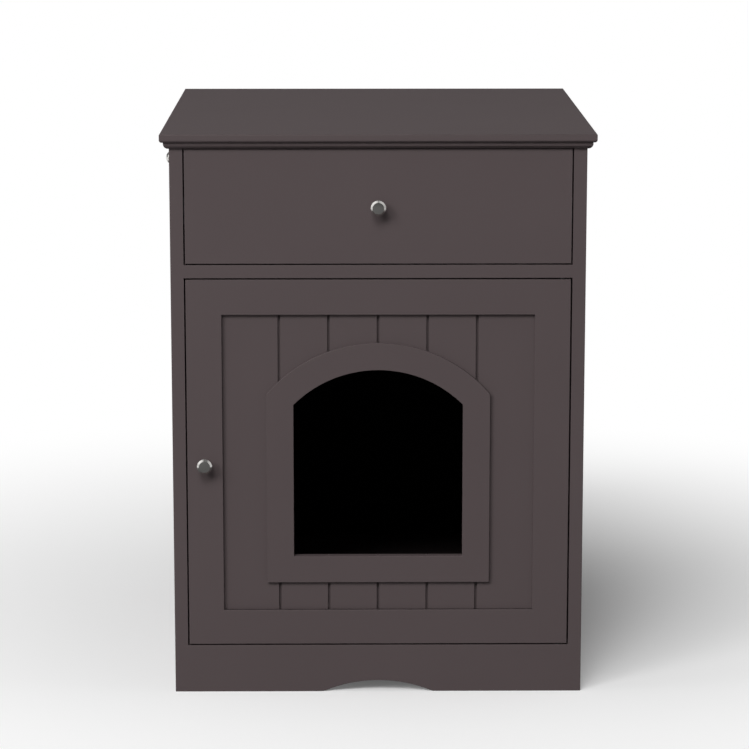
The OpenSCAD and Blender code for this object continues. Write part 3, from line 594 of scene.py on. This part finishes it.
def wood_group():
    """Straight-grained pale wood, with its grain along one stretched direction."""
    group, given, finish = shade_group(
        "straight_grain",
        [("Colour", "Color", (0.6, 0.4, 0.2, 1)), ("Grain stretch", "Vector", (1.0, 1.0, 1.0))])
    stretched = shade(group, "VectorMath", 0, {0: object_place(group), 1: given["Grain stretch"]},
                      operation="MULTIPLY")
    grain = noise(group, stretched, scale=700, detail=4)
    bands = mapped(group, grain, before=(0.3, 0.7), after=(0.8, 1.12))
    return finish(tinted(group, given["Colour"], bands),
                  mapped(group, grain, before=(0, 1), after=(0.55, 0.75)), grain)


birch = finish_of("birch", wood_group(),
                  {"Colour": from_screen(BIRCH), "Grain stretch": GRAIN_STRETCH},
                  bump=0.3, bump_mm=0.05)


def cam_lock(radius, depth):
    """A cam from its foot up to its mouth at the origin: a rim, and a crossed slot in the face."""
    dish_radius, slot_reach = radius - CAM_RIM - CAM_DISH, CAM_SLOT_REACH * radius
    return turned([(0, -depth), (radius - CAM_EDGE, -depth), (radius, CAM_EDGE - depth),
                   (radius, -CAM_EDGE), (radius - CAM_EDGE, 0), (radius - CAM_RIM, 0),
                   (dish_radius, -CAM_DISH), (slot_reach, -CAM_DISH, crossed_outline),
                   (CAM_SLOT_TAPER * slot_reach, -CAM_SLOT_DEPTH, crossed_outline),
                   (0, -CAM_SLOT_DEPTH)], "cam_shape", cast_zinc, sides=32)


def cam_locks(node, body, seed):
    """Cams in their bores, with their mouths to the middle, the back or the floor."""
    spots, ways = [], []
    for low, high in solids_of(node):
        spans, middle = high - low, (low + high) / 2
        axis = min(range(3), key=lambda i: spans[i])
        way = Vector((0, 0, 0))
        way[axis] = {X: -math.copysign(1, middle.x), Y: 1, Z: -1}[axis]
        spots.append(middle + way * spans[axis] / 2)
        ways.append(way)
    shape = cam_lock(max(spans) / 2, min(spans))
    piece = laid_out(node + "_turned", shape, spots, ways, cast_zinc, turn=CAM_TURN, seed=seed)
    return in_place_of(piece, node, body)


def fluted_outline(angle):
    return 1 - DOWEL_FLUTE * (0.5 + 0.5 * math.cos(DOWEL_FLUTES * angle))


def dowels(node, body, seed):
    """Fluted pins with chamfered ends, each along its own longest side."""
    spots, ways = [], []
    for low, high in solids_of(node):
        spans = high - low
        axis = max(range(3), key=lambda i: spans[i])
        spots.append((low + high) / 2)
        ways.append(Vector([float(i == axis) for i in range(3)]))
    radius, half = sorted(spans)[1] / 2, max(spans) / 2
    end_radius, chamfer_start = radius - DOWEL_CHAMFER, half - DOWEL_CHAMFER
    shape = turned([(0, -half), (end_radius, -half, fluted_outline),
                    (radius, -chamfer_start, fluted_outline), (radius, chamfer_start, fluted_outline),
                    (end_radius, half, fluted_outline), (0, half)],
                   "dowel_shape", birch, sides=4 * DOWEL_FLUTES)
    piece = laid_out(node + "_fluted", shape, spots, ways, birch, seed=seed)
    return in_place_of(piece, node, body)


cam_locks("cabinet_cam_locks", "cabinet", seed=21)
cam_locks("drawer_cam_locks", "drawer", seed=22)
for node in ("cabinet_cam_bolts", "drawer_cam_bolts"):
    finish_node(node, zinc)
dowels("cabinet_dowels", "cabinet", seed=23)
dowels("door_dowels", "door", seed=24)


# ---------------------------------------------------------------- drawer slides
# Two-member ball-bearing slides, roll formed from zinc-plated strip, with the forming lines
# along their length. The balls run in a pressed cage between the two members.
ROLLED_ZINC = (184, 187, 190)
FORMING_LINES = (1, 0.02, 1)
BALL_STEEL = (205, 205, 206)
BALL_STEPS = 12

rolled_zinc = plated_metal("rolled_zinc_strip", ROLLED_ZINC, roughness=0.28,
                           stretch=FORMING_LINES, bump=0.15)
ball_steel = plated_metal("ball_steel", BALL_STEEL, roughness=0.08, bump=0.0)


def smooth_copy(node, body, material):
    """The node's own shape, with its rolled or turned faces smooth."""
    return in_place_of(piece_from(solid_copy(node), node + "_formed", material), node, body)


def balls(node, body):
    """Round steel balls in a node's places."""
    boxes = solids_of(node)
    radius = (boxes[0][1].y - boxes[0][0].y) / 2
    arc = [i * math.pi / BALL_STEPS for i in range(BALL_STEPS + 1)]
    shape = turned([(radius * math.sin(a), -radius * math.cos(a)) for a in arc],
                   "ball_shape", ball_steel, sides=2 * BALL_STEPS)
    piece = laid_out(node + "_turned", shape, [(low + high) / 2 for low, high in boxes],
                     [Vector((1, 0, 0))] * len(boxes), ball_steel, turn=0)
    return in_place_of(piece, node, body)


for side in ("left", "right"):
    smooth_copy(side + "_slide_rail", "cabinet", rolled_zinc)
    smooth_copy(side + "_drawer_runner", "drawer", rolled_zinc)
    smooth_copy(side + "_ball_cage", side + "_cage", rolled_zinc)
    balls(side + "_slide_balls", side + "_cage")
screws("slide_rail_screws", "cabinet", (-1, 0, 0), mirrored=True, seed=5)
screws("drawer_runner_screws", "drawer", (1, 0, 0), mirrored=True, seed=6)


# ---------------------------------------------------------------- catch and hinge
# A magnetic catch under the shelf: nylon housing, ferrite magnet between two steel pole plates,
# and a steel strike plate on the door. The door's pins turn in flanged nylon bushes.
NYLON = (38, 37, 37)
FERRITE = (46, 46, 49)

nylon = finish_of("moulded_nylon", sprayed,
                  {"Colour": from_screen(NYLON), "Cloud": 0.05, "Roughness": 0.42,
                   "Peel size": 1600},
                  bump=0.15, bump_mm=0.02, Specular_IOR_Level=0.4)
ferrite = finish_of("sintered_ferrite", sprayed,
                    {"Colour": from_screen(FERRITE), "Cloud": 0.3, "Roughness": 0.6,
                     "Peel size": 2600},
                    bump=0.4, bump_mm=0.04)
for node in ("catch_housing", "upper_hinge_bush", "lower_hinge_bush"):
    smooth_copy(node, "cabinet", nylon)
finish_node("catch_magnet", ferrite)
finish_node("catch_pole_plates", rolled_zinc)
smooth_copy("strike_plate", "door", rolled_zinc)
for node in ("upper_hinge_pin", "lower_hinge_pin"):
    smooth_copy(node, "door", zinc)
screws("catch_screws", "cabinet", (0, 0, -1), seed=8)
screws("strike_screws", "door", (0, 1, 0), seed=9)


# ---------------------------------------------------------------- scoop peg
# A turned and plated peg with a domed head, screwed into the left side under the top, for
# hanging the litter scoop.
NICKEL = (214, 212, 209)
PEG_RADIUS = 7.5 * MM
PEG_DOME = 4.4 * MM
PEG_NECK_RADIUS = 3.2 * MM
PEG_FOOT_RADIUS = 6 * MM
PEG_FOOT_HEIGHT = 0.8 * MM
PEG_SCREW_RADIUS = 2 * MM
PEG_SCREW_LENGTH = 12 * MM
DOME_STEPS = 12
DOME_FROM_STEP = 2

nickel = plated_metal("satin_nickel", NICKEL, roughness=0.17, bump=0.04)


def eased_profile(corners, steps=4):
    """(radius, height) points from corners of which the third value, if any, rounds them over."""
    points = [corners[0][:2]]
    for before, corner, after in zip(corners, corners[1:], corners[2:]):
        place = Vector(corner[:2])
        if len(corner) < 3:
            points.append(tuple(place))
            continue
        start, end = (place + (Vector(other[:2]) - place).normalized() * corner[2]
                      for other in (before, after))
        for i in range(steps + 1):
            t = i / steps
            points.append(tuple(start.lerp(place, t).lerp(place.lerp(end, t), t)))
    return points + [corners[-1][:2]]


def stand(piece, foot, way):
    """Puts a turned piece's foot in its place in the mesh itself, with its axis along way."""
    turn = Vector(way).to_track_quat("Z", "Y").to_matrix().to_4x4()
    piece.data.transform(Matrix.Translation(foot) @ turn)
    return piece


peg_low, peg_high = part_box("scoop_peg")
peg_foot = Vector((-side_high.x, (peg_low.y + peg_high.y) / 2, (peg_low.z + peg_high.z) / 2))
peg_reach = peg_foot.x - peg_low.x
rim_height = peg_reach - PEG_DOME
sphere = (PEG_RADIUS ** 2 + PEG_DOME ** 2) / (2 * PEG_DOME)
rim_angle = math.asin((sphere - PEG_DOME) / sphere)
dome = [rim_angle + (math.pi / 2 - rim_angle) * i / DOME_STEPS
        for i in range(DOME_FROM_STEP, DOME_STEPS + 1)]
peg_profile = eased_profile(
    [(0, -PEG_SCREW_LENGTH), (PEG_SCREW_RADIUS, -PEG_SCREW_LENGTH, 0.5 * MM),
     (PEG_SCREW_RADIUS, 0), (PEG_FOOT_RADIUS, 0), (PEG_FOOT_RADIUS, PEG_FOOT_HEIGHT, 0.3 * MM),
     (PEG_NECK_RADIUS, PEG_FOOT_HEIGHT, 0.8 * MM), (PEG_NECK_RADIUS, rim_height, 0.6 * MM),
     (PEG_RADIUS, rim_height, 0.5 * MM)]
    + [(sphere * math.cos(a), peg_reach - sphere + sphere * math.sin(a)) for a in dome])
peg = turned(peg_profile, "scoop_peg_turned", nickel, sides=72)
in_place_of(stand(peg, peg_foot, (-1, 0, 0)), "scoop_peg", "cabinet")


# ---------------------------------------------------------------- drawer
# A painted front with cam-locked sides and a screwed back, and a hardboard bottom that slides
# in grooves. The front's face is flush with the body.
NEVER_RAW = 10.0

eased_board("drawer_front", "drawer", at_front)
for node in ("drawer_left_side", "drawer_right_side", "drawer_back"):
    eased_board(node, "drawer", both_at(Z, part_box(node)[1].z))
# The drawer bottom takes the same near-black as the back panel's painted-shade face, on both faces.
finish_node("drawer_bottom", hardboard("drawer_hardboard", NEVER_RAW))
screws("drawer_back_screws", "drawer", (1, 0, 0), mirrored=True, seed=11)


# ---------------------------------------------------------------- knobs
# Small turned knobs in satin nickel: a waisted stem, a head, and a faintly domed face inside a
# bevel. Each is held by a screw from behind. Sizes are in millimetres, with the foot at 0.
KNOB_RADIUS = 9.3
KNOB_REACH = 18.0
KNOB_FACE_RADIUS = 6.9
KNOB_FACE_DOME = 0.2
KNOB_BEVEL = 2.7
KNOB_HEAD = 8.5
KNOB_BACK_BEVEL = 1.5
KNOB_FOOT_RADIUS = 5.5
KNOB_FOOT_HEIGHT = 1.0
KNOB_COVE = 4.0
KNOB_COVE_MIDDLE = (8.2, 5.25)
KNOB_COVE_TURN = math.radians(50)
KNOB_COVE_STEPS = 16
KNOB_BORE_RADIUS = 2.0
KNOB_BORE_DEPTH = 8.0

cove = [math.pi + KNOB_COVE_TURN * (1 - 2 * i / KNOB_COVE_STEPS) for i in range(KNOB_COVE_STEPS + 1)]
head_back = KNOB_REACH - KNOB_HEAD
knob_profile = eased_profile(
    [(0, KNOB_BORE_DEPTH), (KNOB_BORE_RADIUS, KNOB_BORE_DEPTH), (KNOB_BORE_RADIUS, 0),
     (KNOB_FOOT_RADIUS, 0, 0.2), (KNOB_FOOT_RADIUS, KNOB_FOOT_HEIGHT, 0.3)]
    + [(KNOB_COVE_MIDDLE[0] + KNOB_COVE * math.cos(a), KNOB_COVE_MIDDLE[1] + KNOB_COVE * math.sin(a))
       for a in cove]
    + [(KNOB_RADIUS - KNOB_BACK_BEVEL, head_back, 0.4),
       (KNOB_RADIUS, head_back + KNOB_BACK_BEVEL, 0.7),
       (KNOB_RADIUS, KNOB_REACH - KNOB_BEVEL, 0.2)]
    + [(KNOB_FACE_RADIUS * part, KNOB_REACH - KNOB_FACE_DOME * part ** 2)
       for part in (1, 0.75, 0.5, 0.25, 0)])
for node, body in (("drawer_knob", "drawer"), ("door_knob", "door")):
    knob_low, knob_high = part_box(node)
    foot = Vector(((knob_low.x + knob_high.x) / 2, knob_high.y, (knob_low.z + knob_high.z) / 2))
    knob = turned([(radius * MM, height * MM) for radius, height in knob_profile],
                  node + "_turned", nickel, sides=96)
    in_place_of(stand(knob, foot, (0, -1, 0)), node, body)
screws("drawer_knob_screw", "drawer", (0, 1, 0), seed=12)
screws("door_knob_screw", "door", (0, 1, 0), seed=13)


# ---------------------------------------------------------------- door frame
# Two stiles and two rails, dowelled and flush, painted as one. The arrises round the door and
# round the panel are eased, and the joints between the pieces don't show.
stile_low, stile_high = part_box("door_right_stile")
field_heights = (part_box("door_bottom_rail")[1].z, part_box("door_top_rail")[0].z)
at_stile_foot = both_at(Z, stile_low.z)
at_stile_head = both_at(Z, stile_high.z)


def within_field(a, b):
    """Both ends of an edge are between the rails."""
    return all(field_heights[0] - ON_PLANE < p.z < field_heights[1] + ON_PLANE for p in (a, b))


for side, sign in (("left", -1), ("right", 1)):
    at_edge = both_at(X, sign * stile_high.x)
    at_field = both_at(X, sign * stile_low.x)
    eased_board(f"door_{side}_stile", "door",
                lambda a, b: at_front(a, b) and (
                    at_edge(a, b) or at_stile_foot(a, b) or at_stile_head(a, b)
                    or (at_field(a, b) and within_field(a, b))),
                splits=field_heights)
for node in ("door_top_rail", "door_bottom_rail"):
    eased_board(node, "door", lambda a, b: at_front(a, b) and across(a, b))


# ---------------------------------------------------------------- beadboard panel
# A 6 mm fibreboard panel in the frame's grooves, with routed lines that divide it into beads,
# and the arched entry cut through it.
LINE_EASE = 0.3 * MM

panel_low, panel_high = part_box("beadboard_panel")
at_panel_face = both_at(Y, panel_low.y)


def upright(a, b):
    """An edge that stands straight up."""
    return abs(a.x - b.x) < SAME_POINT and abs(a.z - b.z) > 0.1 * MM


eased_board("beadboard_panel", "door",
            lambda a, b: at_panel_face(a, b) and upright(a, b) and clear_of_ends(panel_high, a, b),
            ease=LINE_EASE)


# ---------------------------------------------------------------- entry surround
# A flat arched band of fibreboard glued round the entry, flush with the door frame's face.
SURROUND_EASE = 0.5 * MM

eased_board("entry_surround", "door", at_front, ease=SURROUND_EASE)


# ---------------------------------------------------------------- floor, backdrop and light
# A plain pale floor that fades into a white background, two soft key lights in front, one high
# and one from the left, a tall strip at each side for the metal's edges, and an even studio.
FLOOR_HALF_WIDTH = 30
FLOOR_SEEN = (248, 248, 248)
FLOOR_ROUGHNESS = 0.9
FLOOR_BOUNCE = 0.4
FLOOR_IN_METAL = 0.135
FADE = (0.12, 1.28)
FADE_MIDDLE = (0, 0.13, 0)
METAL_FADE = (0.8, 1.6)
METAL_FRONT = (-0.8, -0.3)
HIGH_KEY_WAY = Vector((-0.16, -0.72, 0.68))
HIGH_KEY_WATTS = 480
SIDE_KEY_WAY = Vector((-0.6, -0.7, 0.5))
SIDE_KEY_WATTS = 430
KEY_DISTANCE = 10.0
KEY_SIZE = 4.2
STRIP_WAY = Vector((0.75, -0.15, 0.66))
STRIP_DISTANCE = 3.0
STRIP_SIZE = (1.0, 6.4)
LEFT_STRIP_WATTS = 22
RIGHT_STRIP_WATTS = 13
STUDIO = 0.14
BACKDROP_FRONT = (0.2, 0.7)
BACKDROP_TOP = (0.25, 0)
WHITE = (1, 1, 1, 1)


def grey(level):
    return (level, level, level, 1)


def ramp(tree, value, ends):
    """Smooth rise from 0 to 1 while the value goes from one end to the other."""
    return mapped(tree, value, ends, way="SMOOTHSTEP")


def reach_from(tree, place, middle):
    return shade(tree, "VectorMath", "Value", {0: place, 1: middle}, operation="DISTANCE")


floor_mesh = bpy.data.meshes.new("floor")
floor_mesh.from_pydata([(x * FLOOR_HALF_WIDTH, y * FLOOR_HALF_WIDTH, 0)
                        for x, y in ((-1, -1), (1, -1), (1, 1), (-1, 1))], [], [(0, 1, 2, 3)])
floor = bpy.data.objects.new("floor", floor_mesh)
bpy.context.collection.objects.link(floor)

floor_paint = bpy.data.materials.new("pale_floor")
floor_paint.use_nodes = True
tree = floor_paint.node_tree
rays = tree.nodes.new("ShaderNodeLightPath").outputs
place = object_place(tree)
tone = shade(tree, "Mix", 2, {"Factor": rays["Is Glossy Ray"], 6: grey(FLOOR_BOUNCE),
                              7: grey(FLOOR_IN_METAL)}, data_type="RGBA")
tone = shade(tree, "Mix", 2, {"Factor": rays["Is Camera Ray"], 6: tone,
                              7: from_screen(FLOOR_SEEN)}, data_type="RGBA")
floor_shader = tree.nodes["Principled BSDF"]
tree.links.new(tone, floor_shader.inputs["Base Color"])
floor_shader.inputs["Roughness"].default_value = FLOOR_ROUGHNESS
floor_shader.inputs["Specular IOR Level"].default_value = 0.0
seen = maths(tree, "MAXIMUM", rays["Is Camera Ray"], rays["Is Transmission Ray"])
seen_part = maths(tree, "MULTIPLY", seen, ramp(tree, reach_from(tree, place, FADE_MIDDLE), FADE))
far_part = maths(tree, "MULTIPLY", ramp(tree, reach_from(tree, place, (0, 0, 0)), METAL_FADE),
                 ramp(tree, shade(tree, "SeparateXYZ", "Y", {0: place}), METAL_FRONT))
metal_part = maths(tree, "MULTIPLY", rays["Is Glossy Ray"], far_part)
floor_look = shade(tree, "MixShader", 0, {
    0: maths(tree, "MAXIMUM", seen_part, metal_part), 1: floor_shader.outputs[0],
    2: shade(tree, "Emission", 0, {"Color": WHITE})})
tree.links.new(floor_look, tree.nodes["Material Output"].inputs["Surface"])
floor_mesh.materials.append(floor_paint)

body_middle = Vector((0, 0, side_high.z / 2))


def area_light(name, shape, size, watts, way, distance):
    """An area light that faces the body's middle from that way."""
    data = bpy.data.lights.new(name, "AREA")
    data.shape = shape
    data.size = size[0]
    if shape == "RECTANGLE":
        data.size_y = size[1]
    data.energy = watts
    light = bpy.data.objects.new(name, data)
    light.location = body_middle + way.normalized() * distance
    light.rotation_euler = way.to_track_quat("Z", "Y").to_euler()
    bpy.context.collection.objects.link(light)


area_light("high_key", "DISK", (KEY_SIZE, KEY_SIZE), HIGH_KEY_WATTS, HIGH_KEY_WAY, KEY_DISTANCE)
area_light("side_key", "DISK", (KEY_SIZE, KEY_SIZE), SIDE_KEY_WATTS, SIDE_KEY_WAY, KEY_DISTANCE)
for side, sign, watts in (("left", -1, LEFT_STRIP_WATTS), ("right", 1, RIGHT_STRIP_WATTS)):
    way = Vector((sign * STRIP_WAY.x, STRIP_WAY.y, STRIP_WAY.z))
    area_light(side + "_strip", "RECTANGLE", STRIP_SIZE, watts, way, STRIP_DISTANCE)

world = bpy.data.worlds.new("studio")
bpy.context.scene.world = world
world.use_nodes = True
tree = world.node_tree
studio = tree.nodes["Background"]
studio.inputs["Color"].default_value = WHITE
studio.inputs["Strength"].default_value = STUDIO
rays = tree.nodes.new("ShaderNodeLightPath").outputs
way = shade(tree, "TexCoord", "Generated", {})
seen = maths(tree, "MAXIMUM", rays["Is Camera Ray"], rays["Is Transmission Ray"])
backdrop_part = maths(tree, "MULTIPLY",
                      ramp(tree, shade(tree, "SeparateXYZ", "Y", {0: way}), BACKDROP_FRONT),
                      ramp(tree, shade(tree, "SeparateXYZ", "Z", {0: way}), BACKDROP_TOP))
metal_part = maths(tree, "MULTIPLY", rays["Is Glossy Ray"], backdrop_part)
world_look = shade(tree, "MixShader", 0, {
    0: maths(tree, "MAXIMUM", seen, metal_part), 1: studio.outputs[0],
    2: shade(tree, "Background", 0, {"Color": WHITE, "Strength": 1})})
tree.links.new(world_look, tree.nodes["World Output"].inputs["Surface"])
bpy.context.scene.view_settings.view_transform = "Standard"
